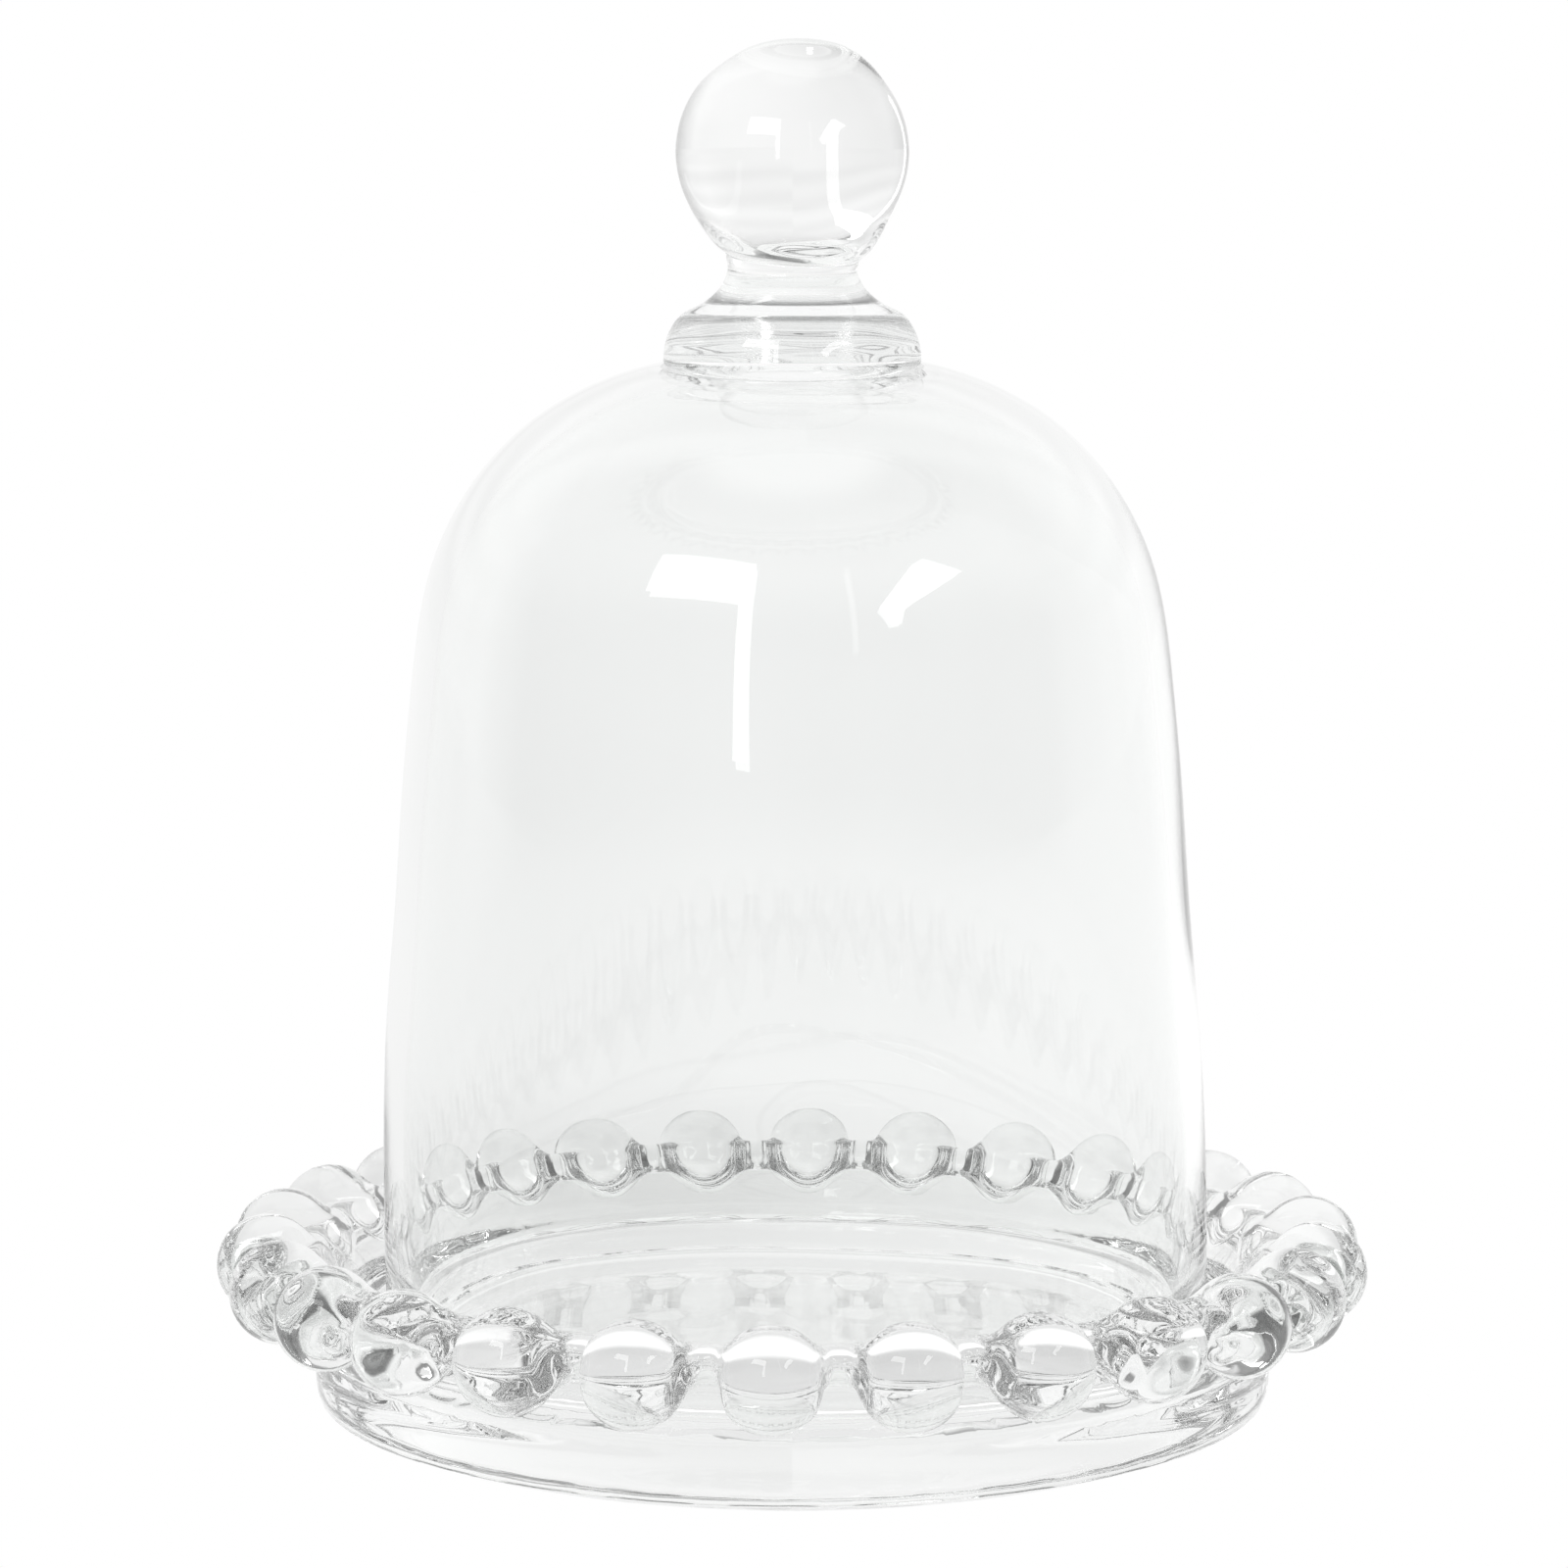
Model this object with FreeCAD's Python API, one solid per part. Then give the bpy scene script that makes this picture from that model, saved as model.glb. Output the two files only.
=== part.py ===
"""Display bell jar: a clear glass dome standing loose on a pressed glass dish with a beaded rim.

Four solids, millimetres, +Z up, origin at the centre of the dish's resting plane:
  base_plate   dish in one piece: solid foot, floor, seat for the dome, upright rim, ring of beads
  bell_shell   thin blown bell, open at the bottom, with a rounded lip
  knob_collar  button on the crown of the bell, drawn in to a short neck
  knob_ball    solid ball on the neck, the finger grip
The three dome pieces meet on flat lands. The dish is separate.
Every piece is turned about Z from a profile of (r, z) points; the beads are added as balls.
"""

import FreeCAD, Part
import math
import os

ORIGIN = FreeCAD.Vector(0, 0, 0)
UP = FreeCAD.Vector(0, 0, 1)

# ---------------------------------------------------------------- dish dimensions
DISH_OUTER_D = 140.0                   # over the beads
BEAD_COUNT = 26
BEAD_R = 6.16
BEAD_RING_R = DISH_OUTER_D / 2 - BEAD_R    # circle of the bead centres
BEAD_Z = 20.4                          # height of the bead centres
BEAD_PHASE_DEG = 2.08                  # first bead, clockwise from the front (-Y) seen from above

FLOOR_R = 42.6                         # flat part of the floor
FLOOR_Z = 11.3
SEAT_R_IN = 46.2                       # ledge the dome stands on
SEAT_R_OUT = 51.3
SEAT_Z = 14.5

RIM_TOP_R = 58.0                       # inner edge of the flat rim top
RIM_TOP_Z = 23.2
RIM_ROUND_R = 2.2                      # rounding of the rim's outer edge
RIM_ROUND_CENTRE_R = 58.9
RIM_ROUND_CENTRE_Z = RIM_TOP_Z - RIM_ROUND_R
RIM_ROUND_END_DEG = -58.0              # where the rounding runs out into the outer wall

FOOT_SHOULDER = (58.45, 11.7)          # r, z of the widest point of the foot
FOOT_FLAT_R = 41.0                     # flat the dish stands on

# Rounded step up from the floor to the seat: r, z
SEAT_STEP = [
    (FLOOR_R, FLOOR_Z), (FLOOR_R + 1.3, FLOOR_Z + 0.4), (FLOOR_R + 2.2, FLOOR_Z + 1.4),
    (FLOOR_R + 2.8, FLOOR_Z + 2.5), (SEAT_R_IN, SEAT_Z),
]
# Hollow rise from the seat to the top of the rim: r, z
RIM_RISE = [
    (SEAT_R_OUT, SEAT_Z), (52.25, 15.25), (53.6, 17.3), (55.2, 19.9), (56.7, 22.2),
    (57.35, 22.95), (RIM_TOP_R, RIM_TOP_Z),
]
# Outer wall below the rim's rounding, drawn in and then out to the shoulder of the foot: r, z
RIM_WALL = [
    (59.2, 18.1), (58.95, 17.2), (58.85, 16.6), (58.35, 15.5), (57.95, 14.55),
    (57.9, 13.9), (58.12, 13.2), (58.4, 12.5), FOOT_SHOULDER,
]
# Foot wall with a little draft, then its tapered lower edge: r, z
FOOT_WALL = [
    FOOT_SHOULDER, (58.3, 8.9), (57.9, 5.15), (57.0, 4.25), (54.5, 3.3),
    (50.8, 2.15), (46.8, 1.08), (43.6, 0.30), (FOOT_FLAT_R, 0.0),
]

# ---------------------------------------------------------------- bell dimensions
BELL_CLEARANCE = 0.05                  # gap under the lip, keeps the loose dome off the dish
LIP_R = 50.0                           # outer radius
LIP_WALL = 3.0
LIP_BOTTOM_Z = SEAT_Z + BELL_CLEARANCE
LIP_TOP_Z = LIP_BOTTOM_Z + LIP_WALL / 2    # where the half-round lip meets the wall
LIP_FADE_HEIGHT = 18.0                 # the wall thins from lip to side over this height
SIDE_WALL = 2.6
CROWN_WALL = 3.0
CROWN_LAND_R = 15.5                    # flat land the collar stands on
CROWN_Z = 129.3
CAVITY_TOP_Z = 126.5

# The offset inner curve is sampled evenly along the outer curve's parameter
INNER_STEPS = 34
INNER_MIN_R = 13.0                     # samples nearer the axis are left out
INNER_MIN_RISE = 2.0                   # and so are samples less than this above LIP_TOP_Z
CAVITY_CROWN = [(7.0, CAVITY_TOP_Z - 0.13), (0.0, CAVITY_TOP_Z)]    # r, z

# Outside of the bell from lip to crown: r, z
BELL_OUTER = [
    (LIP_R, LIP_TOP_Z), (50.10, 21.5), (50.08, 28.5), (49.72, 42.4), (48.95, 54.0),
    (48.15, 63.0), (47.05, 78.4), (46.50, 84.5), (45.90, 90.3), (45.10, 97.0),
    (44.18, 102.0), (42.70, 106.9), (40.55, 111.5), (37.30, 116.4), (32.95, 121.0),
    (29.85, 123.4), (26.00, 125.65), (22.00, 127.45), (18.60, 128.55), (CROWN_LAND_R, CROWN_Z),
]

# ---------------------------------------------------------------- knob dimensions
COLLAR_FOOT_R = 15.45
NECK_R = 7.72                          # narrowest part
NECK_TOP_R = 8.25                      # flat land between neck and ball
NECK_TOP_Z = 142.35
BALL_R = 13.92                         # widest part
BALL_TOP_Z = 167.6

# Side of the collar and neck, upwards: r, z
COLLAR_SIDE = [
    (COLLAR_FOOT_R, CROWN_Z), (15.42, 130.2), (15.30, 131.0), (15.13, 131.8), (14.88, 132.55),
    (14.55, 133.25), (13.80, 134.4), (12.75, 135.3), (11.3, 136.0), (9.95, 136.85),
    (8.7, 138.1), (8.0, 139.4), (NECK_R, 140.5), (7.88, 141.5), (NECK_TOP_R, NECK_TOP_Z),
]
# Side of the ball, upwards to the axis: r, z
BALL_SIDE = [
    (NECK_TOP_R, NECK_TOP_Z), (9.45, 143.45), (11.05, 145.6), (12.55, 148.35), (13.4, 150.6),
    (13.86, 153.0), (BALL_R, 154.3), (13.75, 156.2), (13.15, 158.6), (12.1, 160.8),
    (10.45, 163.05), (8.2, 165.1), (5.6, 166.65), (2.8, 167.4), (0, BALL_TOP_Z),
]


# ---------------------------------------------------------------- profile helpers
def profile_point(r, z):
    return FreeCAD.Vector(r, 0, z)


def spline(points, start, end):
    """Smooth curve through (r, z) points, leaving and arriving in the given directions."""
    inner_count = len(points) - 2
    curve = Part.BSplineCurve()
    curve.interpolate(
        Points=[profile_point(*point) for point in points],
        Tangents=[profile_point(*start).normalize()]
        + [FreeCAD.Vector(0, 0, 0)] * inner_count
        + [profile_point(*end).normalize()],
        TangentFlags=[True] + [False] * inner_count + [True],
    )
    return curve


def lines(*points):
    """Straight edges from each (r, z) point to the next."""
    return [Part.LineSegment(profile_point(*a), profile_point(*b)).toShape()
            for a, b in zip(points, points[1:])]


def arc(start, middle, end):
    return Part.Arc(*[profile_point(*point) for point in (start, middle, end)]).toShape()


def turned(edges):
    """Solid of revolution about Z from a closed chain of profile edges."""
    face = Part.Face(Part.Wire(Part.__sortEdges__(edges)))
    solid = face.revolve(ORIGIN, UP, 360.0).Solids[0]
    if solid.Volume < 0:
        solid.reverse()
    return solid


# ---------------------------------------------------------------- pieces
def make_bead(index):
    """One ball of the ring, turned about Z so that its seam stays on the free outer side."""
    ball = Part.makeSphere(BEAD_R, FreeCAD.Vector(BEAD_RING_R, 0, BEAD_Z))
    ball.rotate(ORIGIN, UP, -90.0 - BEAD_PHASE_DEG - 360.0 * index / BEAD_COUNT)
    return ball


def make_base_plate():
    end_angle = math.radians(RIM_ROUND_END_DEG)
    round_start = (RIM_ROUND_CENTRE_R, RIM_TOP_Z)
    round_middle = (RIM_ROUND_CENTRE_R + RIM_ROUND_R, RIM_ROUND_CENTRE_Z)
    round_end = (RIM_ROUND_CENTRE_R + RIM_ROUND_R * math.cos(end_angle),
                 RIM_ROUND_CENTRE_Z + RIM_ROUND_R * math.sin(end_angle))
    dish = turned([
        *lines((0, 0), (0, FLOOR_Z), (FLOOR_R, FLOOR_Z)),
        spline(SEAT_STEP, start=(1, 0), end=(1, 0)).toShape(),
        *lines((SEAT_R_IN, SEAT_Z), (SEAT_R_OUT, SEAT_Z)),
        spline(RIM_RISE, start=(1, 0.25), end=(1, 0)).toShape(),
        *lines((RIM_TOP_R, RIM_TOP_Z), round_start),
        arc(round_start, round_middle, round_end),
        spline([round_end] + RIM_WALL, start=(-0.85, -0.53), end=(0, -1)).toShape(),
        spline(FOOT_WALL, start=(-0.02, -1), end=(-1, 0)).toShape(),
        *lines((FOOT_FLAT_R, 0), (0, 0)),
    ])
    solids = dish.fuse([make_bead(index) for index in range(BEAD_COUNT)]).Solids
    assert len(solids) == 1, "the dish and its beads are one piece"
    return solids[0]


def bell_inner_points(outer):
    """The outer curve moved inwards by a wall that is thickest at the lip and the crown."""
    first, last = outer.FirstParameter, outer.LastParameter
    points = [(LIP_R - LIP_WALL, LIP_TOP_Z)]
    for i in range(1, INNER_STEPS):
        share = i / INNER_STEPS
        parameter = first + (last - first) * i / INNER_STEPS
        place = outer.value(parameter)
        direction = outer.tangent(parameter)[0]
        near_lip = max(0.0, 1.0 - (place.z - LIP_TOP_Z) / LIP_FADE_HEIGHT) ** 2
        wall = (SIDE_WALL + (LIP_WALL - SIDE_WALL) * near_lip
                + (CROWN_WALL - SIDE_WALL) * share ** 3)
        r = place.x - direction.z * wall
        z = place.z + direction.x * wall
        if r > INNER_MIN_R and z > LIP_TOP_Z + INNER_MIN_RISE:
            points.append((r, z))
    return points + CAVITY_CROWN


def make_bell_shell():
    outer = spline(BELL_OUTER, start=(0.02, 1), end=(-1, 0.2))
    inner = spline(bell_inner_points(outer), start=(0, 1), end=(-1, 0))
    return turned([
        outer.toShape(),
        *lines((CROWN_LAND_R, CROWN_Z), (0, CROWN_Z), (0, CAVITY_TOP_Z)),
        inner.toShape(),
        arc((LIP_R - LIP_WALL, LIP_TOP_Z), (LIP_R - LIP_WALL / 2, LIP_BOTTOM_Z),
            (LIP_R, LIP_TOP_Z)),
    ])


def make_knob_collar():
    return turned([
        spline(COLLAR_SIDE, start=(0, 1), end=(0.8, 1)).toShape(),
        *lines((NECK_TOP_R, NECK_TOP_Z), (0, NECK_TOP_Z), (0, CROWN_Z), (COLLAR_FOOT_R, CROWN_Z)),
    ])


def make_knob_ball():
    return turned([
        spline(BALL_SIDE, start=(1, 0.8), end=(-1, 0)).toShape(),
        *lines((0, BALL_TOP_Z), (0, NECK_TOP_Z), (NECK_TOP_R, NECK_TOP_Z)),
    ])


def main():
    os.makedirs("parts", exist_ok=True)
    pieces = {
        "base_plate": make_base_plate(),
        "bell_shell": make_bell_shell(),
        "knob_collar": make_knob_collar(),
        "knob_ball": make_knob_ball(),
    }
    for name, shape in pieces.items():
        assert shape.isValid(), name
        shape.exportStep("parts/" + name + ".step")


main()
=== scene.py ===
"""Glass cloche: a pressed dish with a beaded rim, a blown bell standing in it and a knob on top.

The dish rests on z = 0 with its axis on z. The camera looks from the front, -y, so +x is right.
Shapes are worked out in millimetres as (r, z) outlines round the axis; Blender gets metres.
"""

import math

import bpy
import numpy as np
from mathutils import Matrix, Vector


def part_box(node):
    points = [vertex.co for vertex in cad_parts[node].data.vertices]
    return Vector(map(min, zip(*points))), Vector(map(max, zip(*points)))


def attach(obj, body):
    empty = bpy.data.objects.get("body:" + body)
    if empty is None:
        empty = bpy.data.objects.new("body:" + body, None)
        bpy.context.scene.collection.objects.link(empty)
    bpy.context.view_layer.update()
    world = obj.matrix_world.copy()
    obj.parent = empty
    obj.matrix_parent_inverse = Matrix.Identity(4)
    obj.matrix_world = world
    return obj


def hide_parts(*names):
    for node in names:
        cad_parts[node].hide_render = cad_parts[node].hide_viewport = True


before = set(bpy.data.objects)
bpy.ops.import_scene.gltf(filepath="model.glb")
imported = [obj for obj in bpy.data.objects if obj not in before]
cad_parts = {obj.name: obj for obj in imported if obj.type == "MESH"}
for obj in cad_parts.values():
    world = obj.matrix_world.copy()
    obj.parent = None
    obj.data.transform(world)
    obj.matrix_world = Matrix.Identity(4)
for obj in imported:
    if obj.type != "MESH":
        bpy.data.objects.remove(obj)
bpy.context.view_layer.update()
scene = bpy.context.scene
MM = 0.001

# ---------------------------------------------------------------- outlines


def cubic(points, step, start=None, end=None):
    """Cubic spline through (r, z) points, sampled about every step mm; optional end directions."""
    p = np.array(points, float)
    knots = arc_length(p)
    span = np.diff(knots)
    n = len(p)
    system = np.zeros((n, n))
    right = np.zeros((n, 2))
    for i in range(1, n - 1):
        before, after = span[i - 1], span[i]
        system[i, i - 1:i + 2] = after, 2 * (before + after), before
        right[i] = 3 * (after * (p[i] - p[i - 1]) / before + before * (p[i + 1] - p[i]) / after)
    if start is None:
        system[0, :2] = 2, 1
        right[0] = 3 * (p[1] - p[0]) / span[0]
    else:
        system[0, 0] = 1
        right[0] = np.array(start, float) / np.hypot(*start)
    if end is None:
        system[-1, -2:] = 1, 2
        right[-1] = 3 * (p[-1] - p[-2]) / span[-1]
    else:
        system[-1, -1] = 1
        right[-1] = np.array(end, float) / np.hypot(*end)
    slope = np.linalg.solve(system, right)
    count = max(8, int(round(knots[-1] / step)))
    s = np.linspace(0, knots[-1], count + 1)
    k = np.clip(np.searchsorted(knots, s, side="right") - 1, 0, n - 2)
    u = ((s - knots[k]) / span[k])[:, None]
    width = span[k][:, None]
    return ((2 * u ** 3 - 3 * u ** 2 + 1) * p[k] + (u ** 3 - 2 * u ** 2 + u) * width * slope[k]
            + (-2 * u ** 3 + 3 * u ** 2) * p[k + 1] + (u ** 3 - u ** 2) * width * slope[k + 1])


def arc_length(p):
    return np.r_[0.0, np.cumsum(np.hypot(*np.diff(p, axis=0).T))]


def resample(p, lengths):
    """Points of a polyline at the given lengths along it."""
    s = arc_length(p)
    return np.c_[np.interp(lengths, s, p[:, 0]), np.interp(lengths, s, p[:, 1])]


def even(p, step):
    total = arc_length(p)[-1]
    return resample(p, np.linspace(0, total, max(4, int(round(total / step)) + 1)))


def soften(p, sigma, step):
    """Rounds the corners of an evenly spaced open polyline. The ends stay where they are."""
    k = int(4 * sigma / step)
    weights = np.exp(-0.5 * (np.arange(-k, k + 1) * step / sigma) ** 2)
    weights /= weights.sum()
    before = 2 * p[0] - p[1:k + 1][::-1]
    after = 2 * p[-1] - p[-k - 1:-1][::-1]
    padded = np.vstack([before, p, after])
    return np.c_[np.convolve(padded[:, 0], weights, "valid"),
                 np.convolve(padded[:, 1], weights, "valid")]


def smooth01(x):
    x = np.clip(x, 0.0, 1.0)
    return x * x * (3 - 2 * x)


class Waves:
    """Seeded sum of sines over space, for slow unevenness. Value mostly within -1 to 1."""

    COUNT = 18
    SPREAD = 0.45       # of the logarithm of the wave number

    def __init__(self, seed, size):
        rng = np.random.default_rng(seed)
        direction = rng.normal(size=(self.COUNT, 3))
        direction /= np.linalg.norm(direction, axis=1)[:, None]
        number = 2 * math.pi / size * np.exp(rng.uniform(-self.SPREAD, self.SPREAD, self.COUNT))
        self.vectors = direction * number[:, None]
        self.phases = rng.uniform(0, 2 * math.pi, self.COUNT)
        self.scale = 0.6 / math.sqrt(self.COUNT / 2.0)

    def __call__(self, xyz):
        return self.scale * np.sin(xyz @ self.vectors.T + self.phases).sum(axis=1)


# ---------------------------------------------------------------- meshes


def add_object(name, verts_mm, faces, materials):
    mesh = bpy.data.meshes.new(name)
    mesh.from_pydata((np.asarray(verts_mm, float) * MM).tolist(), [], faces)
    for material in materials:
        mesh.materials.append(material)
    ob = bpy.data.objects.new(name, mesh)
    scene.collection.objects.link(ob)
    return ob


def add_glass(name, verts_mm, faces, materials, slots=None):
    """Smooth-shaded piece; slots gives each face's material."""
    ob = add_object(name, verts_mm, faces, materials)
    mesh = ob.data
    if slots is not None:
        mesh.polygons.foreach_set("material_index", np.asarray(slots, np.int32))
    mesh.polygons.foreach_set("use_smooth", np.ones(len(mesh.polygons), bool))
    mesh.update()
    mesh.validate()
    return ob


def around(r, z, angle):
    """Points round the axis; the angle starts at the front and runs to the right."""
    return np.stack([r * np.sin(angle), -r * np.cos(angle), z], axis=-1)


def turned(rows, columns, place=around, fused_start=False, fused_end=False):
    """Turned piece from (r, z) rows whose first and last points are on the axis.

    A fused end has its cap and the ring of faces next to it in material slot 1.
    Returns verts, faces and the slot of each face. The two axis points are the last verts.
    """
    body = rows[1:-1]
    n = len(body)
    column = np.arange(columns)
    after = (column + 1) % columns
    angle = np.tile(column * 2 * math.pi / columns, n)
    verts = place(np.repeat(body[:, 0], columns), np.repeat(body[:, 1], columns), angle)
    poles = [place(np.array([0.0]), np.array([z]), np.array([0.0])) for z in rows[[0, -1], 1]]
    row = np.arange(n - 1)[:, None] * columns
    quads = np.stack([row + column, row + after, row + columns + after, row + columns + column],
                     axis=-1).reshape(-1, 4)
    start, end = len(verts), len(verts) + 1
    last = (n - 1) * columns
    caps = np.vstack([
        np.stack([np.full(columns, start), after, column], axis=-1),
        np.stack([np.full(columns, end), last + column, last + after], axis=-1),
    ])
    quad_slots = np.zeros((n - 1, columns), np.int32)
    if fused_start:
        quad_slots[0] = 1
    if fused_end:
        quad_slots[-1] = 1
    slots = np.r_[quad_slots.ravel(), np.repeat([int(fused_start), int(fused_end)], columns)]
    return np.vstack([verts, *poles]), quads.tolist() + caps.tolist(), slots


# ---------------------------------------------------------------- shader nodes


class Tree:
    """Short ways to build nodes. Values may be numbers or sockets."""

    def __init__(self, owner):
        owner.use_nodes = True
        self.tree = owner.node_tree
        self.tree.nodes.clear()

    def new(self, kind, values=None, **settings):
        """values: by input name or index; settings: the node's own properties."""
        node = self.tree.nodes.new(kind)
        for key, value in settings.items():
            setattr(node, key, value)
        for key, value in (values or {}).items():
            self.put(node.inputs[key], value)
        return node

    def put(self, socket, value):
        if isinstance(value, bpy.types.NodeSocket):
            self.tree.links.new(value, socket)
        else:
            socket.default_value = value

    def calc(self, operation, *values, clamp=False):
        return self.new("ShaderNodeMath", dict(enumerate(values)),
                        operation=operation, use_clamp=clamp).outputs[0]

    def add(self, first, *rest):
        for value in rest:
            first = self.calc("ADD", first, value)
        return first

    def mul(self, first, *rest):
        for value in rest:
            first = self.calc("MULTIPLY", first, value)
        return first

    def sub(self, a, b):
        return self.calc("SUBTRACT", a, b)

    def distance(self, x, y):
        return self.calc("SQRT", self.add(self.mul(x, x), self.mul(y, y)))

    def azimuth(self, x, y):
        """Degrees from the camera's side, + to the right."""
        return self.mul(self.calc("ARCTAN2", x, self.mul(y, -1.0)), 180 / math.pi)

    def ramp(self, x, x0, x1, y0=0.0, y1=1.0, smooth=True):
        return self.new("ShaderNodeMapRange", {0: x, 1: x0, 2: x1, 3: y0, 4: y1}, clamp=True,
                        interpolation_type="SMOOTHSTEP" if smooth else "LINEAR").outputs[0]

    def mix(self, share, a, b):
        return self.new("ShaderNodeMix", {0: share, 2: a, 3: b}, data_type="FLOAT").outputs[0]

    def round_table(self, azimuth, values):
        """Curve through values at the middles of equal steps of azimuth, closing on itself."""
        top = 1.5       # the curve node holds 0 to 1, which stands for 0 to top
        node = self.new("ShaderNodeFloatCurve")
        points = node.mapping.curves[0].points
        step = 1.0 / len(values)
        values = [value / top for value in values]
        edge = (values[0] + values[-1]) / 2
        points[0].location = (0.0, edge)
        points[1].location = (1.0, edge)
        for i, value in enumerate(values):
            points.new((i + 0.5) * step, value)
        for point in points:
            point.handle_type = "VECTOR"
        node.mapping.update()
        turn = self.calc("DIVIDE", self.sub(azimuth, -180), 360, clamp=True)
        self.put(node.inputs["Value"], turn)
        return self.mul(node.outputs[0], top)

    def layers(self, x, azimuth, rows):
        """Blends (x, values by azimuth) rows along x. A single value holds all round."""
        result = None
        for place, values in rows:
            here = values[0] if len(values) == 1 else self.round_table(azimuth, values)
            if result is None:
                result = here
            else:
                result = self.mix(self.ramp(x, before, place, smooth=False), result, here)
            before = place
        return result

    def gray(self, x):
        return self.new("ShaderNodeCombineColor", {0: x, 1: x, 2: x}).outputs[0]


# ---------------------------------------------------------------- glass materials

BUMP_UNIT = 0.001       # metres to one unit of bump height


def glass(name, ior, tint, waves, ridges=None):
    """Clear glass with a slightly uneven surface. Lengths are in metres.

    waves: (size, height) or (size, height, upright squash) of each layer of unevenness;
    ridges: (size, height) of faint concentric ridges round the axis.
    """
    material = bpy.data.materials.new(name)
    t = Tree(material)
    place = t.new("ShaderNodeTexCoord").outputs["Object"]
    heights = []
    for i, (size, height, *squash) in enumerate(waves):
        source = place
        if squash:
            source = t.new("ShaderNodeVectorMath", {0: place, 1: (1, 1, squash[0])},
                           operation="MULTIPLY").outputs[0]
        offset = (0.37 * (i + 1), 0.11 * (i + 2), 0.23 * i)     # keeps the layers unlike
        shifted = t.new("ShaderNodeVectorMath", {0: source, 1: offset}, operation="ADD")
        noise = t.new("ShaderNodeTexNoise", {
            "Vector": shifted.outputs[0], "Scale": 1.0 / size, "Detail": 1.0,
            "Roughness": 0.4, "Distortion": 0.3})
        heights.append(t.mul(noise.outputs["Fac"], height / BUMP_UNIT))
    if ridges:
        size, height = ridges
        along = 18.0        # per metre: how slowly a ridge changes along its course
        x, y, _ = t.new("ShaderNodeSeparateXYZ", {0: place}).outputs
        ring = t.new("ShaderNodeCombineXYZ", {
            0: t.mul(t.distance(x, y), 1.0 / size), 1: t.mul(x, along), 2: t.mul(y, along)})
        noise = t.new("ShaderNodeTexNoise", {
            "Vector": ring.outputs[0], "Scale": 1.0, "Detail": 1.0})
        heights.append(t.mul(noise.outputs["Fac"], height / BUMP_UNIT))
    bump = t.new("ShaderNodeBump", {
        "Strength": 1.0, "Distance": BUMP_UNIT, "Height": t.add(*heights)})
    shader = t.new("ShaderNodeBsdfPrincipled", {
        "Base Color": (*tint, 1), "Roughness": 0.0, "IOR": ior, "Transmission Weight": 1.0,
        "Normal": bump.outputs["Normal"]})
    t.new("ShaderNodeOutputMaterial", {"Surface": shader.outputs[0]})
    return material


def fused(name):
    """Face where two pieces are fused: nothing is seen there, so the light goes straight on."""
    material = bpy.data.materials.new(name)
    t = Tree(material)
    shader = t.new("ShaderNodeBsdfTransparent")
    t.new("ShaderNodeOutputMaterial", {"Surface": shader.outputs[0]})
    return material


PRESSED = glass("pressed_glass", ior=1.52, tint=(0.982, 0.988, 0.984),
                waves=((0.016, 1.1e-5), (0.030, 0.7e-5, 4.0)), ridges=(0.0032, 3.5e-6))
BLOWN = glass("blown_glass", ior=1.50, tint=(0.988, 0.994, 0.990),
              waves=((0.03, 2.0e-5), (0.010, 1.5e-6)))
KNOB = glass("knob_glass", ior=1.50, tint=(0.994, 0.998, 0.995), waves=((0.012, 5e-6),))
FUSED = fused("fused_joint")

# ---------------------------------------------------------------- base_plate: the pressed dish

N_BEADS = 26
BEAD_R, BEAD_RING_R, BEAD_Z = 6.16, 63.84, 20.4
BEAD_PHASE = math.radians(2.08)
BEAD_COLUMNS = 36                       # mesh columns to a bead
HALF_PITCH = math.pi / N_BEADS
RIM_MID, RIM_ROUND = np.array((58.9, 21.0)), 2.2    # round edge of the rim, inside the beads
GAP_MID = (59.4, 21.1)                  # where the bead's circle drifts to between two beads
GAP_FROM, GAP_OVER = 4.75, 2.25         # sideways distance where the drift starts, its length
GAP_R, GAP_BLEND = 2.0, 0.5             # least radius of the bead's circle, softness of the limit
FLOOR_Z = 11.3                          # upper face inside the dish
FOOT_FLAT_R = 41.0                      # flat the dish rests on
FOOT_CORNER = (57.7, 4.5)               # lower outer edge of the foot
LINE_STEP = 0.05
SOFT, CRISP = 0.20, 0.07                # corner rounding in general and at the foot's corner
CRISP_REACH = 1.6


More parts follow.
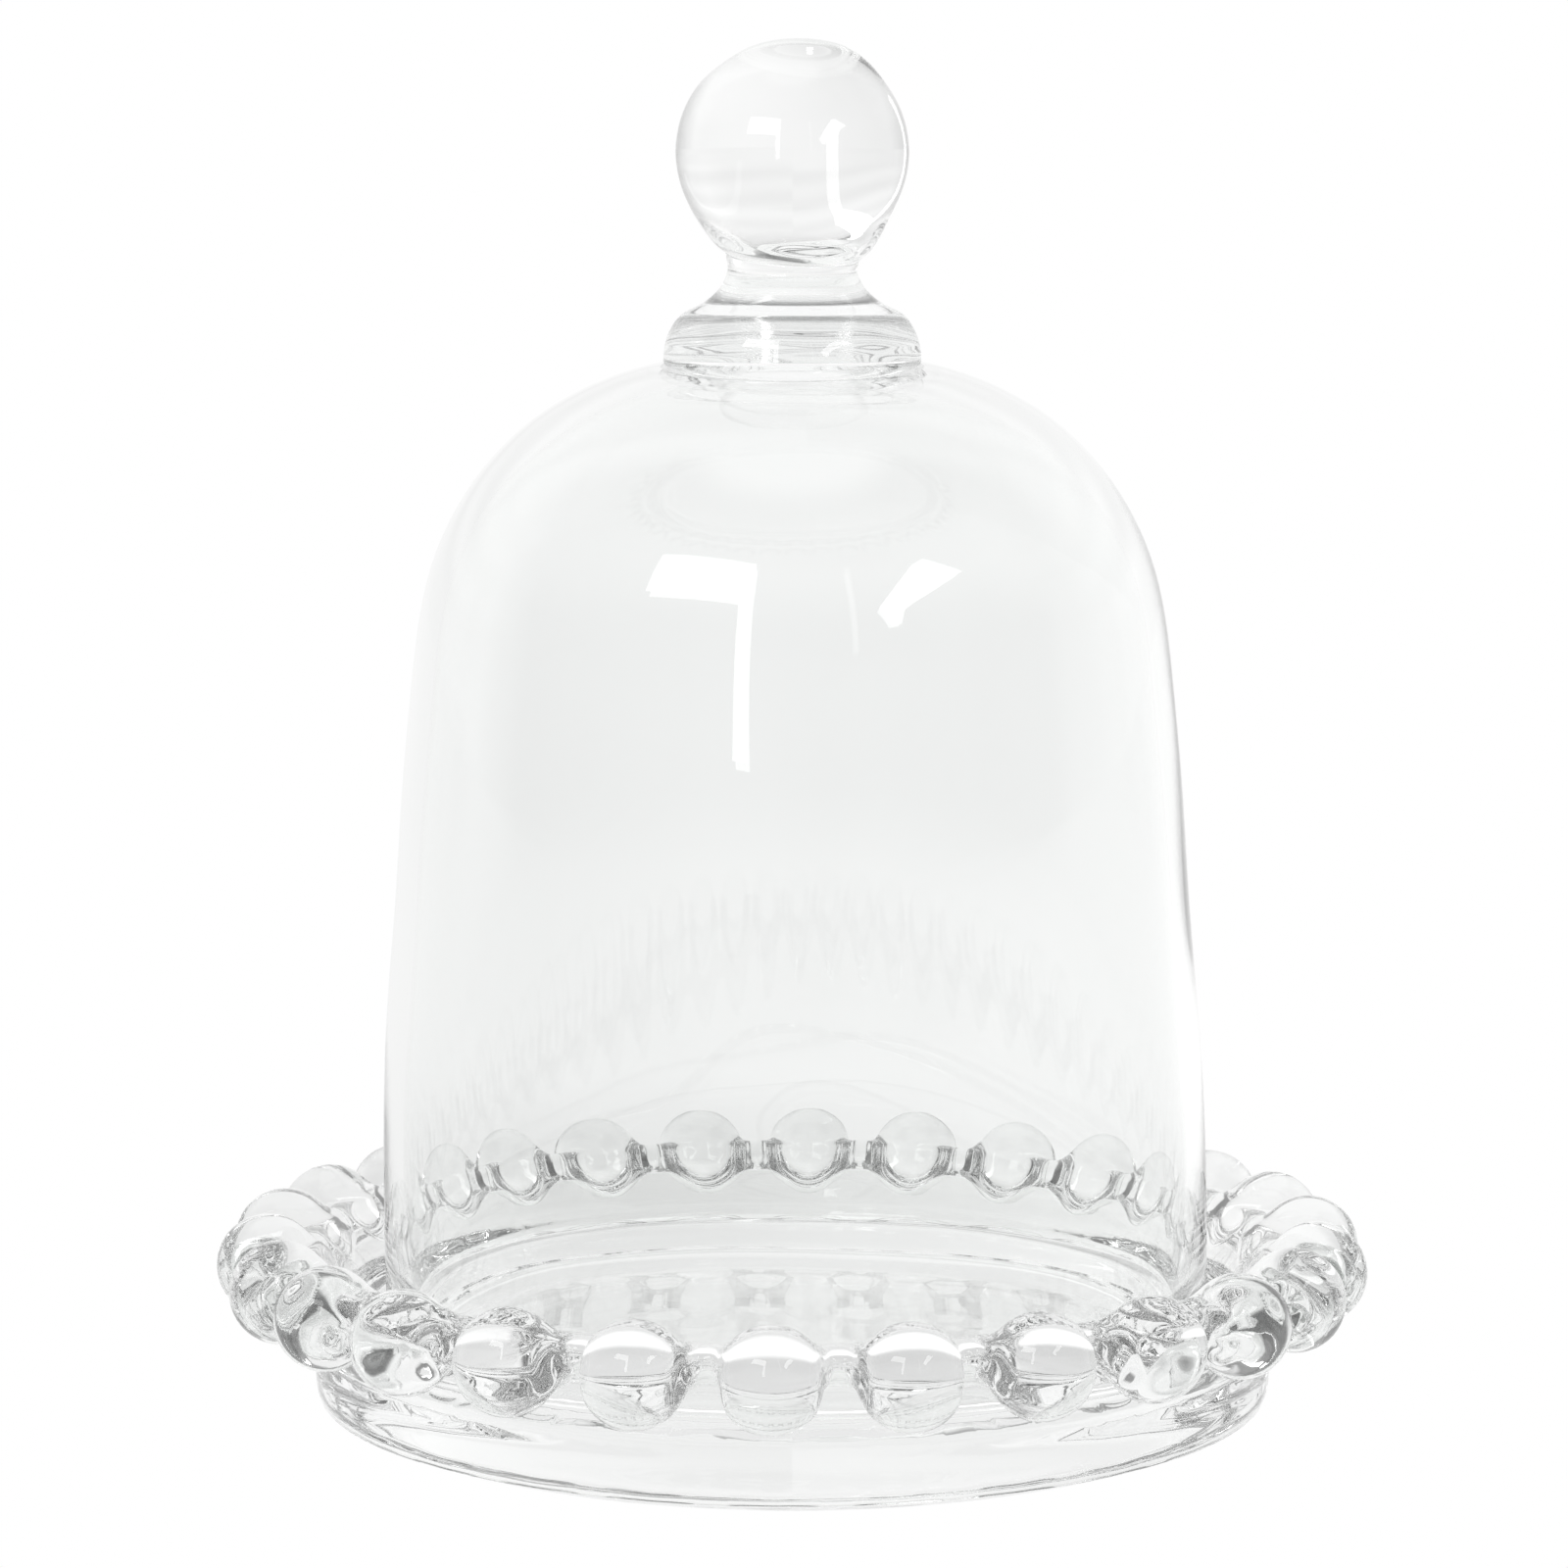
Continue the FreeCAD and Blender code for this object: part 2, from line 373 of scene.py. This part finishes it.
def dish_lines():
    """Upper face from the axis out to the rim, and outside from the rim down and to the axis."""
    top = np.vstack([
        [(0.0, FLOOR_Z)],
        cubic([(42.6, FLOOR_Z), (43.9, 11.7), (44.8, 12.7), (45.4, 13.8), (46.2, 14.5)],
              LINE_STEP, (1, 0), (1, 0)),
        cubic([(51.3, 14.5), (52.25, 15.25), (53.6, 17.3), (55.2, 19.9), (56.7, 22.2),
               (57.35, 22.95), (58.0, 23.2)], LINE_STEP, (1, 0.25), (1, 0.0)),
        [(58.9, 23.2), (58.95, 22.4), (58.95, 21.0)],
    ])
    under = np.vstack([
        [(58.95, 21.0), (58.95, 20.0)],
        cubic([(58.9, 18.8), (58.98, 17.7), (58.85, 16.6), (58.35, 15.5), (57.95, 14.55),
               (57.9, 13.9), (58.12, 13.2), (58.4, 12.5), (58.47, 11.7)],
              LINE_STEP, (0.05, -1), (0, -1)),
        cubic([(58.47, 11.7), (58.3, 9.0), (58.0, 5.3), (57.9, 4.75)],
              LINE_STEP, (-0.02, -1), (-0.15, -1))[1:],
        cubic([FOOT_CORNER, (54.5, 3.32), (50.8, 2.17), (46.8, 1.08), (43.6, 0.30),
               (FOOT_FLAT_R, 0.0)], LINE_STEP, (-1, -0.38), (-1, 0)),
        [(0.0, 0.0)],
    ])
    return top, under


# directions from the inner side, over the top, outside and below
HULL_N = 720
HULL_ANGLES = math.pi - np.arange(HULL_N + 1) * 2 * math.pi / HULL_N
HULL_DIRECTIONS = np.c_[np.cos(HULL_ANGLES), np.sin(HULL_ANGLES)]


def bead_hull(lateral):
    """Hull of bead and rim, cut at this sideways distance from the bead's middle.

    Returns its points and its reach in each of the hull directions.
    """
    r = BEAD_RING_R * math.cos(math.asin(min(lateral / BEAD_RING_R, 1.0)))
    ball = math.sqrt(max(BEAD_R ** 2 - lateral ** 2, 0.0))
    drift = float(smooth01((lateral - GAP_FROM) / GAP_OVER))
    middle = np.array([r * (1 - drift) + GAP_MID[0] * drift,
                       BEAD_Z * (1 - drift) + GAP_MID[1] * drift])
    blend = max(GAP_BLEND - abs(ball - GAP_R), 0.0) / GAP_BLEND
    radius = max(ball, GAP_R) + blend * blend * GAP_BLEND * 0.25
    rim_reach = HULL_DIRECTIONS @ RIM_MID + RIM_ROUND
    bead_reach = HULL_DIRECTIONS @ middle + radius
    points = np.where((bead_reach > rim_reach)[:, None],
                      middle + radius * HULL_DIRECTIONS, RIM_MID + RIM_ROUND * HULL_DIRECTIONS)
    return points, np.maximum(rim_reach, bead_reach)


def inside_hull(p, reach):
    return np.all(np.atleast_2d(p) @ HULL_DIRECTIONS.T <= reach[None, :] + 1e-9, axis=1)


def hull_entry(outside, inside, reach):
    """Where the segment between the two points enters the hull, by halving."""
    for _ in range(30):
        middle = (outside + inside) / 2
        if inside_hull(middle, reach)[0]:
            inside = middle
        else:
            outside = middle
    return (outside + inside) / 2


def dish_section(lateral, top, under):
    """The outline in three parts: upper face, over the bead or rim, and underside."""
    hull, reach = bead_hull(lateral)
    i = int(np.argmax(inside_hull(top, reach)))
    upper_end = hull_entry(top[i - 1], top[i], reach)
    j = len(under) - 1 - int(np.argmax(inside_hull(under, reach)[::-1]))
    under_start = hull_entry(under[j + 1], under[j], reach)
    half = HULL_N // 2
    first = int(np.argmin(np.hypot(*(hull - upper_end).T)[:half]))
    last = half + int(np.argmin(np.hypot(*(hull - under_start).T)[half:]))
    over = np.vstack([upper_end, hull[first + 2:last - 1], under_start])
    over = over[np.r_[True, np.hypot(*np.diff(over, axis=0).T) > 1e-6]]
    return np.vstack([top[:i], upper_end]), over, np.vstack([under_start, under[j + 1:]])


def dish_rows(lateral, top, under):
    """One column of the dish as (r, z) rows, softened, with matching rows in every column."""
    upper, over, lower = dish_section(lateral, top, under)
    upper_len, over_len, lower_len = (arc_length(part)[-1] for part in (upper, over, lower))
    total = upper_len + over_len + lower_len
    n = int(round(total / LINE_STEP))
    s = np.linspace(0, total, n + 1)
    p = resample(np.vstack([upper, over[1:], lower[1:]]), s)

    # length of the sloping underside, from the foot's corner in to the resting flat
    under_s = arc_length(under)
    corner_index = int(np.argmin(np.hypot(*(under - FOOT_CORNER).T)))
    slope_len = under_s[-1] - FOOT_FLAT_R - under_s[corner_index]

    corner = total - FOOT_FLAT_R - slope_len
    near = np.clip(CRISP_REACH - np.abs(s - corner), 0, 1)[:, None]
    p = soften(p, SOFT, total / n) * (1 - near) + soften(p, CRISP, total / n) * near
    p[:, 1] = np.where(s < 41.0, FLOOR_Z, p[:, 1])          # flat floor of the dish
    p[:, 1] = np.where(s > total - 38.0, 0.0, p[:, 1])      # resting flat

    slope_end = lower_len - FOOT_FLAT_R
    edge = slope_end - slope_len
    at_upper = np.r_[0, 14, 30, 41.6, np.linspace(42.3, 48.2, 10), 51.2,
                     np.linspace(52.2, upper_len, 18)]
    at_over = upper_len + over_len * np.linspace(0, 1, 43)[1:]
    at_lower = upper_len + over_len + np.r_[
        np.linspace(0, edge - 0.30, 14)[1:], edge + np.array([-0.10, 0.0, 0.10]),
        np.linspace(edge + 0.30, slope_end, 13), slope_end + np.array([3.0, 12, 26, 41.0])]
    return resample(p, np.r_[at_upper, at_over, at_lower])


def half_pitch_angles():
    """Column angles from a bead's middle to the gap, closer where the bead meets the rim."""
    fine = np.linspace(0, HALF_PITCH, 4000)
    lateral = BEAD_RING_R * np.sin(fine)
    density = 1.0 + 2.0 * np.exp(-0.5 * ((lateral - 5.6) / 0.75) ** 2)
    share = np.r_[0, np.cumsum((density[1:] + density[:-1]) / 2)]
    share /= share[-1]
    return np.interp(np.linspace(0, 1, BEAD_COLUMNS // 2 + 1), share, fine)


def roughen_dish(xyz):
    """Slow waves, strongest on the foot wall and rim and none on the resting flat."""
    radius = np.hypot(xyz[:, 0], xyz[:, 1])
    z = xyz[:, 2]
    calm = 0.25 + 0.75 * np.maximum(smooth01((z - 5.0) / 6.0), smooth01((44.0 - radius) / 2.0))
    sideways = (smooth01((radius - 40) / 8) * calm
                * (0.04 * Waves(11, 26.0)(xyz) + 0.012 * Waves(12, 13.0)(xyz)))
    xyz[:, :2] += xyz[:, :2] / radius[:, None] * sideways[:, None]
    xyz[:, 2] += smooth01((z - 2.0) / 6.0) * (0.035 * Waves(13, 22.0)(xyz)
                                              + 0.02 * Waves(14, 9.0)(xyz))


def fit_to_node(xyz, node):
    """Moves and very slightly scales a piece so that its box is the CAD node's box."""
    low, high = (np.array(corner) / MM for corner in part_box(node))
    scale = (high - low) / (xyz.max(0) - xyz.min(0))
    return (xyz - xyz.min(0)) * scale + low


def make_dish():
    top, under = dish_lines()
    half = half_pitch_angles()
    sections = np.array([dish_rows(BEAD_RING_R * math.sin(a), top, under) for a in half])
    # the second half of a pitch mirrors the first
    pitch_sections = np.concatenate([sections, sections[1:-1][::-1]])
    pitch_angles = np.r_[half, 2 * HALF_PITCH - half[1:-1][::-1]]
    beads = BEAD_PHASE + 2 * HALF_PITCH * np.arange(N_BEADS)
    angles = (beads[:, None] + pitch_angles).ravel()
    body = np.tile(pitch_sections, (N_BEADS, 1, 1))[:, 1:-1]
    columns, rows = body.shape[:2]
    # the angle runs clockwise from the front, seen from above
    xyz = around(body[..., 0], body[..., 1], -angles[:, None]).reshape(-1, 3)
    roughen_dish(xyz)
    top_pole, bottom_pole = len(xyz), len(xyz) + 1
    verts = np.vstack([xyz, [0, 0, FLOOR_Z], [0, 0, 0.0]])
    here = np.arange(columns) * rows
    after = (np.arange(columns) + 1) % columns * rows
    i, i_after, j = here[:, None], after[:, None], np.arange(rows - 1)[None, :]
    quads = np.stack([i + j, i_after + j, i_after + j + 1, i + j + 1], axis=-1).reshape(-1, 4)
    caps = np.vstack([
        np.stack([np.full(columns, top_pole), after, here], axis=-1),
        np.stack([np.full(columns, bottom_pole), here + rows - 1, after + rows - 1], axis=-1),
    ])
    return fit_to_node(verts, "base_plate"), quads.tolist() + caps.tolist()


plate = add_glass("base_plate_glass", *make_dish(), [PRESSED])

# ---------------------------------------------------------------- bell_shell: the blown bell

LIP_MID_R, LIP_Z, LIP_ROUND = 48.5, 16.05, 1.5      # half-round lower edge
CROWN_Z = 129.3                                     # flat land under the knob
LAND_R = 15.45
BELL_COLUMNS = 288
BELL_LEAN = 0.45                                    # shift of the foot to the right

# (r, z) of the outer face from the lip up to the land
BELL_OUTER = (
    (LIP_MID_R + LIP_ROUND, LIP_Z), (50.10, 21.5), (50.08, 28.5), (49.72, 42.4), (48.95, 54.0),
    (48.15, 63.0), (47.05, 78.4), (46.50, 84.5), (45.90, 90.3), (45.10, 97.0), (44.18, 102.0),
    (42.70, 106.9), (40.55, 111.5), (37.30, 116.4), (32.95, 121.0), (29.85, 123.4),
    (26.00, 125.65), (22.00, 127.45), (18.60, 128.55), (15.5, CROWN_Z),
)


def bell_faces():
    """Outer and inner lines of the wall, both from the lip up."""
    outer = cubic(BELL_OUTER, 0.5, (0.02, 1), (-1, 0.2))
    s = arc_length(outer)
    tangent = np.gradient(outer, s, axis=0)
    tangent /= np.hypot(*tangent.T)[:, None]
    near_lip = np.clip(1 - (outer[:, 1] - LIP_Z) / 18.0, 0, 1) ** 2
    wall = 2.6 + 0.4 * near_lip + 0.4 * (s / s[-1]) ** 3
    offset = np.c_[outer[:, 0] - tangent[:, 1] * wall, outer[:, 1] + tangent[:, 0] * wall]
    guide = offset[(offset[:, 0] > 13.0) & (offset[:, 1] > LIP_Z + 2.0)][::8]
    inner = cubic([(LIP_MID_R - LIP_ROUND, LIP_Z), *guide, (7.0, 126.37), (0.0, 126.5)],
                  0.5, (0, 1), (-1, 0))
    return outer, inner


def bell_rows():
    """From the axis down the inner face, round the lip, up the outer face and over the crown.

    Also returns the number of rows on the inner face.
    """
    outer, inner = bell_faces()
    inner_len, outer_len = arc_length(inner[::-1])[-1], arc_length(outer)[-1]
    inside = resample(inner[::-1], np.r_[0, np.linspace(2.0, 20, 10),
                                         np.linspace(20, inner_len, 66)[1:]])
    angle = np.linspace(math.pi, 2 * math.pi, 13)[1:-1]
    lip = np.c_[LIP_MID_R + LIP_ROUND * np.cos(angle), LIP_Z + LIP_ROUND * np.sin(angle)]
    outside = resample(outer, np.linspace(0, outer_len, 76))
    land = [(LAND_R, CROWN_Z), (9.0, CROWN_Z), (0.0, CROWN_Z)]
    return np.vstack([inside, lip, outside, land]), len(inside)


def make_bell():
    rows, inner_count = bell_rows()
    verts, faces, slots = turned(rows, BELL_COLUMNS, fused_end=True)
    # unevenness along the wall's normal, each face its own, fading at the lip and the land
    body = rows[1:-1]
    tangent = np.gradient(body, axis=0)
    tangent /= np.maximum(np.hypot(*tangent.T), 1e-9)[:, None]
    row = np.repeat(np.arange(len(body)), BELL_COLUMNS)
    angle = np.tile(np.arange(BELL_COLUMNS) * 2 * math.pi / BELL_COLUMNS, len(body))
    normal = around(tangent[row, 1], -tangent[row, 0], angle)
    inside = row < inner_count - 1
    wall = verts[:-2]
    fade = (smooth01((wall[:, 2] - LIP_Z) / 8.0)
            * np.where(inside, 1.0, smooth01((body[row, 0] - 16.5) / 8.0)))
    height = np.where(inside, 0.045 * Waves(22, 34.0)(wall), 0.035 * Waves(21, 46.0)(wall))
    verts[:-2] += normal * (height * fade)[:, None]
    verts[:, 0] += BELL_LEAN * smooth01((60.0 - verts[:, 2]) / 42.0)
    return verts, faces, [BLOWN, FUSED], slots


bell = add_glass("bell_shell_glass", *make_bell())

# ---------------------------------------------------------------- knob: collar with neck, and ball

KNOB_COLUMNS = 160
SEAM_R, SEAM_Z = 8.25, 142.35           # seam of neck and ball before it is tilted
DISC_R = 4.0                            # ring inside the fused disc at the seam
CREASE, CREASE_REACH = 0.22, 0.95       # depth and half height of the crease at the seam
TILT_BELOW, TILT_ABOVE = 3.75, 5.15     # how far from the seam the tilt is felt
BALL_LEAN = 0.75                        # shift of the ball's top to the right

# (r, z) from the bell's land up to the seam
COLLAR_SIDE = (
    (LAND_R, CROWN_Z), (15.42, 130.2), (15.30, 131.0), (15.13, 131.8), (14.88, 132.55),
    (14.55, 133.25), (13.80, 134.4), (12.75, 135.3), (11.3, 136.0), (9.95, 136.85), (8.7, 138.1),
    (8.0, 139.4), (7.72, 140.5), (7.88, 141.5), (SEAM_R, SEAM_Z),
)
# (r, z) from the seam up to the top
BALL_SIDE = (
    (SEAM_R, SEAM_Z), (9.45, 143.45), (11.05, 145.6), (12.55, 148.35), (13.4, 150.6),
    (13.86, 153.0), (13.92, 154.3), (13.75, 156.2), (13.15, 158.6), (12.1, 160.8),
    (10.45, 163.05), (8.2, 165.1), (5.6, 166.65), (2.8, 167.4), (0.0, 167.6),
)


def tilt_seam(r, z, angle, away, reach):
    """Tilts the seam, lower at the front and right, and pinches the glass in at it.

    away is the height from the untilted seam, counted into the piece.
    """
    xyz = around(r, z, angle)
    x, y = xyz[:, 0], xyz[:, 1]
    seam = 142.0 - 0.5 * (x / SEAM_R) + 1.15 * (y / SEAM_R)
    xyz[:, 2] += (seam - SEAM_Z) * smooth01(1 - away / reach)
    pinch = 1 - CREASE * np.clip(1 - away / CREASE_REACH, 0, 1) ** 2 / SEAM_R * (r > 6)
    xyz[:, :2] *= pinch[:, None]
    return xyz


def place_collar(r, z, angle):
    return tilt_seam(r, z, angle, SEAM_Z - z, TILT_BELOW)


def place_ball(r, z, angle):
    xyz = tilt_seam(r, z, angle, z - SEAM_Z, TILT_ABOVE)
    xyz[:, 0] += BALL_LEAN * smooth01((z - 161.5) / 6.1)
    return xyz


def make_collar():
    side = even(cubic(COLLAR_SIDE, 0.2, (0.0, 1), (0.8, 1)), 0.42)
    rows = np.vstack([[(0.0, CROWN_Z), (8.0, CROWN_Z)], side, [(DISC_R, SEAM_Z), (0.0, SEAM_Z)]])
    verts, faces, slots = turned(rows, KNOB_COLUMNS, place_collar,
                                 fused_start=True, fused_end=True)
    # unevenness of the side only
    radius = np.hypot(verts[:, 0], verts[:, 1])
    z = verts[:, 2]
    side_only = (smooth01((radius - 5.0) / 2.0) * smooth01((z - CROWN_Z) / 1.0)
                 * smooth01((141.0 - z) / 2.0))
    height = 0.03 * Waves(31, 14.0)(verts) * side_only
    verts[:, :2] += verts[:, :2] / np.maximum(radius, 1e-6)[:, None] * height[:, None]
    return verts, faces, [KNOB, FUSED], slots


def make_ball():
    side = even(cubic(BALL_SIDE, 0.2, (1, 0.8), (-1, 0)), 0.55)
    rows = np.vstack([[(0.0, SEAM_Z), (DISC_R, SEAM_Z)], side])
    verts, faces, slots = turned(rows, KNOB_COLUMNS, place_ball, fused_start=True)
    return verts, faces, [KNOB, FUSED], slots


collar = add_glass("knob_collar_glass", *make_collar())
ball = add_glass("knob_ball_glass", *make_ball())

for ob, body, node, slot in (
        (plate, "plate", "base_plate", "pressed_glass"),
        (bell, "dome", "bell_shell", "blown_glass"),
        (collar, "dome", "knob_collar", "knob_glass"),
        (ball, "dome", "knob_ball", "knob_glass")):
    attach(ob, body)
    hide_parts(node)

# ---------------------------------------------------------------- camera and studio rig

CAMERA_PLACE = (0.0, -0.5924, 0.1506)       # metres
CAMERA_DOWN = math.radians(6.95)


def add_camera():
    data = bpy.data.cameras.new("camera")
    data.sensor_width = 36.0
    data.lens = 113.3
    data.shift_x = -0.0053
    data.clip_start = 0.01
    data.clip_end = 20
    ob = bpy.data.objects.new("camera", data)
    scene.collection.objects.link(ob)
    ob.location = CAMERA_PLACE
    look = Vector((0, math.cos(CAMERA_DOWN), -math.sin(CAMERA_DOWN)))
    ob.rotation_mode = "QUATERNION"
    ob.rotation_quaternion = look.to_track_quat("-Z", "Y")
    scene.camera = ob
    return ob


def add_rig(target):
    """Empty that turns about z with the camera, so the studio keeps its place in the view."""
    ob = bpy.data.objects.new("studio_rig", None)
    scene.collection.objects.link(ob)
    track = ob.constraints.new("LOCKED_TRACK")
    track.target = target
    track.track_axis = "TRACK_NEGATIVE_Y"
    track.lock_axis = "LOCK_Z"
    return ob


rig = add_rig(add_camera())

# ---------------------------------------------------------------- world and floor

# Brightness by azimuth: equal steps from -180 degrees, 0 at the camera's side, + to the right.
# Surround: (elevation in degrees, values in 15 degree steps).
BANDS = (
    (2.5, (.97, .92, .90, .90, .84, .34, .19, .18, .19, .25, .30, .27,
           .20, .28, .20, .20, .21, .26, .50, .82, .98, .99, .96, .97)),
    (14.0, (.90, .90, .91, .93, .84, .36, .27, .22, .23, .25, .30, .25,
            .22, .21, .17, .22, .18, .25, .44, .80, .99, .98, .92, .90)),
    (27.0, (.95, .97, 1.0, .98, .74, .36, .26, .23, .23, .24, .30, .25,
            .22, .20, .22, .30, .28, .38, .40, .74, .99, 1.04, .96, .95)),
    (44.0, (.90, .95, 1.04, .98, .50, .40, .28, .22, .26, .26, .26, .25,
            .22, .21, .22, .28, .25, .38, .40, .50, .99, 1.02, .99, .90)),
    (64.0, (.98, 1.0, 1.02, 1.08, .50, .30, .26, .24, .28, .27, .25, .22,
            .25, .24, .22, .19, .18, .24, .25, .35, .98, .95, .95, .97)),
)
# Floor: (distance from the axis in metres, values), under the dish and beyond it. All painted light
# on the glowing floor: near the dish painted caustic rings and painted shade, further out painted
# room light.
NEAR_PAINTED_LIGHT_RINGS = (
    (0.030, (.87,)),
    (0.046, (.87,)),
    (0.0495, (.84, .86, .84, .84, .80, .80, .86, .88)),
    (0.0510, (.95, .96, .95, 1.05, 1.1, 1.1, 1.05, .98)),
    (0.0540, (1.0, 1.0, 1.0, 1.25, 1.35, 1.35, 1.2, 1.0)),
    (0.0550, (.84, .84, .82, .76, .72, .72, .78, .84)),
    (0.0585, (.82, .82, .84, .80, .76, .78, .82, .84)),
    (0.0620, (.86, .88, 1.02, 1.02, 1.02, 1.0, .96, .96)),
    (0.068, (.86, .88, 1.02, 1.06, 1.10, 1.08, .96, .96)),
)
# painted room light on the floor beyond the dish
FAR_PAINTED_LIGHT_RINGS = (
    (0.092, (.80, .85, .91, 1.0, .84, .80, .95, .92, 1.02, .94, .95, .90)),
    (0.145, (.82, .90, 1.0, .93, .97, .97, 1.03, .99, .94, 1.0, 1.0, .94)),
    (0.240, (.93, .90, .80, .50, .44, .40, .54, .56, .68, .80, 1.04, 1.0)),
    (0.450, (.93, .92, .70, .32, .26, .16, .36, .40, .46, .72, 1.05, 1.0)),
    (1.000, (.95, .90, .64, .26, .25, .26, .30, .30, .40, .68, 1.0, 1.0)),
)


def fade_long_paths(t, value, azimuth, front_share, darkest, faintest):
    """Dims light that has gone long inside the glass: the room's front first, then all of it."""
    path = t.new("ShaderNodeLightPath").outputs
    clear = path["Transparent Depth"]
    # fused faces tell the small knob pieces, which stay light
    depth = t.sub(path["Ray Depth"], t.mul(t.calc("MINIMUM", clear, 2.0), 12.0))
    value = t.mix(t.mul(t.calc("MINIMUM", clear, 1.0), 0.7), value, 0.98)
    front = t.mul(t.ramp(azimuth, -112, -100), t.ramp(azimuth, 118, 104), front_share)
    dark = t.ramp(depth, 4.5, 8.5, 1.0, darkest, smooth=False)
    faint = t.ramp(depth, 10.0, 20.0, 1.0, faintest, smooth=False)
    return t.mul(value, t.mix(front, 1.0, dark), faint)


def surround_shade(t, x, y, z):
    """Brightness of the studio in a direction of the rig's frame."""
    azimuth = t.azimuth(x, y)
    elevation = t.mul(t.calc("ARCSINE", z), 180 / math.pi)
    value = t.layers(elevation, azimuth, BANDS)
    # slow folds of the backdrop, one over the other
    bend = t.mul(t.calc("SINE", t.mul(azimuth, 0.08)), 0.8)
    fold = t.calc("SINE", t.add(t.mul(elevation, 0.62), t.mul(azimuth, 0.035), bend))
    folded = t.mul(t.ramp(elevation, 3, 8), t.ramp(elevation, 40, 26))
    value = t.mul(value, t.add(1.0, t.mul(fold, folded, 0.035)))
    value = fade_long_paths(t, value, azimuth, front_share=t.ramp(elevation, 72, 60),
                            darkest=0.24, faintest=0.60)
    return t.mix(t.ramp(elevation, 66, 78), value, 0.92)


def floor_shade(t, x, y, _z):
    """Brightness of the floor, all painted light; under the dish the painted caustic rings and
    painted shade show only through the glass.
    """
    distance = t.distance(x, y)
    azimuth = t.azimuth(x, y)
    passes = t.new("ShaderNodeLightPath").outputs["Transmission Depth"]
    through = t.calc("GREATER_THAN", passes, 1.5)
    near_end, far_start = NEAR_PAINTED_LIGHT_RINGS[-1][0], FAR_PAINTED_LIGHT_RINGS[0][0]
    # painted shade under the dish, darker towards the axis
    painted_shade_under_dish = t.ramp(distance, NEAR_PAINTED_LIGHT_RINGS[0][0], near_end, 0.88, 0.98)
    near = t.mix(through, painted_shade_under_dish, t.layers(distance, azimuth, NEAR_PAINTED_LIGHT_RINGS))
    far = t.layers(distance, azimuth, FAR_PAINTED_LIGHT_RINGS)
    value = t.mix(t.ramp(distance, near_end, far_start, smooth=False), near, far)
    return fade_long_paths(t, value, azimuth, front_share=t.ramp(distance, 0.20, 0.32),
                           darkest=0.04, faintest=0.22)


def build_backdrop(owner, shade, shader_kind, output_kind):
    """Shades a world or material in the rig's frame; seen directly it is plain white."""
    t = Tree(owner)
    place = t.new("ShaderNodeTexCoord", object=rig).outputs["Object"]
    value = shade(t, *t.new("ShaderNodeSeparateXYZ", {0: place}).outputs)
    direct = t.new("ShaderNodeLightPath").outputs["Is Camera Ray"]
    shader = t.new(shader_kind, {"Color": t.gray(t.mix(direct, value, 1.0))})
    t.new(output_kind, {"Surface": shader.outputs[0]})


world = bpy.data.worlds.new("studio")
scene.world = world
build_backdrop(world, surround_shade, "ShaderNodeBackground", "ShaderNodeOutputWorld")

# The floor's material glows with painted light: painted caustics, painted shade and painted room
# light, seen in the glass; seen directly it is plain white.
glowing_floor = bpy.data.materials.new("pale_floor_painted_light")
build_backdrop(glowing_floor, floor_shade, "ShaderNodeEmission", "ShaderNodeOutputMaterial")

FLOOR_HALF = 6000.0
FLOOR_TOP = -0.3        # just under the dish
floor_corners = [(sx * FLOOR_HALF, sy * FLOOR_HALF, FLOOR_TOP)
                 for sx, sy in ((-1, -1), (1, -1), (1, 1), (-1, 1))]
add_object("floor", floor_corners, [(0, 1, 2, 3)], [glowing_floor])

# ---------------------------------------------------------------- softboxes, seen only in the glass

CARD_DISTANCE = 318     # from the axis

# name, strength, corners as (azimuth in degrees, height), faces
CARDS = (
    ("softbox_left", 3.8,
     ((-46, 355), (-12, 355), (-12, 110), (-16, 110), (-16, 250), (-46, 250)),
     [(0, 1, 4, 5), (1, 2, 3, 4)]),
    ("softbox_right", 3.8,
     ((26, 230), (41, 330), (46, 342), (57, 288), (34, 226), (32, 198), (29, 198)),
     [(0, 1, 2, 3, 4), (0, 4, 5, 6)]),
    ("softbox_strip", 0.9,
     ((17.2, 340), (19.2, 340), (19.0, 165), (17.4, 165)),
     [(0, 1, 2, 3)]),
)


def add_card(name, strength, corners, faces):
    material = bpy.data.materials.new(name)
    t = Tree(material)
    shader = t.new("ShaderNodeEmission", {"Strength": strength})
    t.new("ShaderNodeOutputMaterial", {"Surface": shader.outputs[0]})
    azimuth, height = np.array(corners, float).T
    ob = add_object(name, around(CARD_DISTANCE, height, np.radians(azimuth)), faces, [material])
    ob.parent = rig
    ob.visible_camera = False
    ob.visible_shadow = False


for card in CARDS:
    add_card(*card)

# ---------------------------------------------------------------- render settings

cycles = scene.cycles
cycles.max_bounces = 128
cycles.transmission_bounces = 64
cycles.glossy_bounces = 96
cycles.diffuse_bounces = 2
cycles.transparent_max_bounces = 32
cycles.use_denoising = True
cycles.denoiser = "OPENIMAGEDENOISE"
cycles.sample_clamp_indirect = 0.0
scene.view_settings.view_transform = "Standard"
scene.view_settings.look = "None"
scene.view_settings.exposure = 0.0
scene.view_settings.gamma = 1.0
scene.render.film_transparent = False
